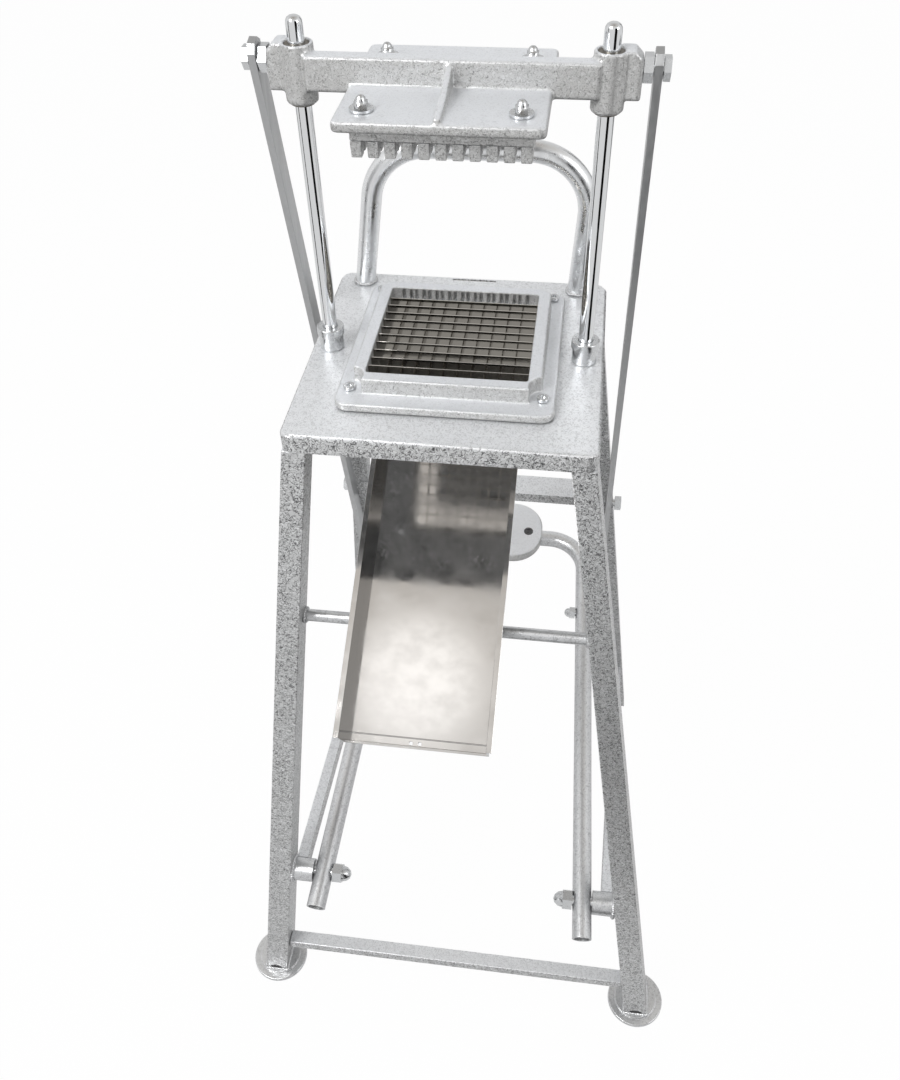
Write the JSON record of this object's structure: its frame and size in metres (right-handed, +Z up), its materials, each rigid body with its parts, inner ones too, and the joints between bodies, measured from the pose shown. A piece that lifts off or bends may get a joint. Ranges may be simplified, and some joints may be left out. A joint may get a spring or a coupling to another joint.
{
  "type": "french fry cutter",
  "caption": "Floor-standing french fry cutter: a foot pedal pulls a cast crosshead and pusher down through a blade grid, over a sloping chute.",
  "frame": {"origin": "on the floor, midway between the outermost points in X and in Y", "axes": "+Z up along the guide rods, +Y from the chute side to the pedal pad side, +X to the right seen from the chute side"},
  "size_m": [0.516, 0.5829, 1.085],
  "materials": {
    "hammertone": "silver grey hammer paint",
    "silver_paint": "satin silver paint",
    "cast_aluminium": "sand cast, satin",
    "chrome": "polished",
    "zinc": "bright zinc plated",
    "link_steel": "dull",
    "blade_steel": "bright",
    "polished_steel": "polished sheet",
    "bronze": "satin"
  },
  "bodies": {
    "base": {"table_top": "hammertone", "blade_frame": "cast_aluminium", "blades_along": "blade_steel", "blades_across": "blade_steel", "frame_screw_front_left": "zinc", "frame_screw_front_right": "zinc", "frame_screw_back_left": "zinc", "frame_screw_back_right": "zinc", "guide_rod_left": "chrome", "guide_rod_right": "chrome", "rod_collar_left": "zinc", "rod_collar_right": "zinc", "rod_nut_left": "zinc", "rod_nut_right": "zinc", "hoop": "chrome", "rear_rail": "hammertone", "rail_bolt_left": "zinc", "rail_bolt_right": "zinc", "rail_nut_left": "zinc", "rail_nut_right": "zinc", "pivot_boss_left": "silver_paint", "pivot_boss_right": "silver_paint", "pivot_bolt_left": "zinc", "pivot_bolt_right": "zinc", "pivot_cap_nut_left": "zinc", "pivot_cap_nut_right": "zinc", "front_stretcher": "hammertone", "chute_rod": "silver_paint", "front_leg_left": "hammertone", "front_leg_right": "hammertone", "rear_leg_left": "hammertone", "rear_leg_right": "hammertone", "side_stretcher_left": "hammertone", "side_stretcher_right": "hammertone", "front_foot_left": "silver_paint", "front_foot_right": "silver_paint", "chute": "polished_steel"},
    "crosshead": {"crosshead": "cast_aluminium", "guide_bush_left": "bronze", "guide_bush_right": "bronze", "pusher_block": "cast_aluminium", "pusher_bolt_front_left": "zinc", "pusher_bolt_front_right": "zinc", "pusher_bolt_back_left": "zinc", "pusher_bolt_back_right": "zinc", "link_top_bolt_left": "zinc", "link_top_bolt_right": "zinc", "link_top_nut_left": "zinc", "link_top_nut_right": "zinc"},
    "pedal": {"pedal_frame": "silver_paint", "foot_pad": "cast_aluminium", "pad_screw_left": "zinc", "pad_screw_right": "zinc"},
    "link_left": {"link_bar_left": "link_steel", "link_lower_bolt_left": "zinc", "link_lower_cap_nut_left": "zinc"},
    "link_right": {"link_bar_right": "link_steel", "link_lower_bolt_right": "zinc", "link_lower_cap_nut_right": "zinc"}
  },
  "joints": [
    {"name": "crosshead_slide", "type": "slide", "parent": "base", "child": "crosshead", "axis": [0, 0, -1], "range_m": [0, 0.155]},
    {"name": "pedal_hinge", "type": "hinge", "parent": "base", "child": "pedal", "pos_m": [0, -0.20628, 0.244], "axis": [-1, 0, 0], "range_deg": [0, 25.45]},
    {"name": "link_left_hinge", "type": "hinge", "parent": "crosshead", "child": "link_left", "pos_m": [-0.1218, -0.08528, 1.059], "axis": [-1, 0, 0], "range_deg": [-0.6, 0.2]},
    {"name": "link_right_hinge", "type": "hinge", "parent": "crosshead", "child": "link_right", "pos_m": [0.1218, -0.08528, 1.059], "axis": [-1, 0, 0], "range_deg": [-0.6, 0.2]}
  ],
  "couplings": [
    {"joint": "pedal_hinge", "follows": "crosshead_slide", "rad_per_m": 2.8592},
    {"joint": "link_left_hinge", "follows": "crosshead_slide", "rad_per_m": 0.0145},
    {"joint": "link_right_hinge", "follows": "crosshead_slide", "rad_per_m": 0.0145}
  ]
}
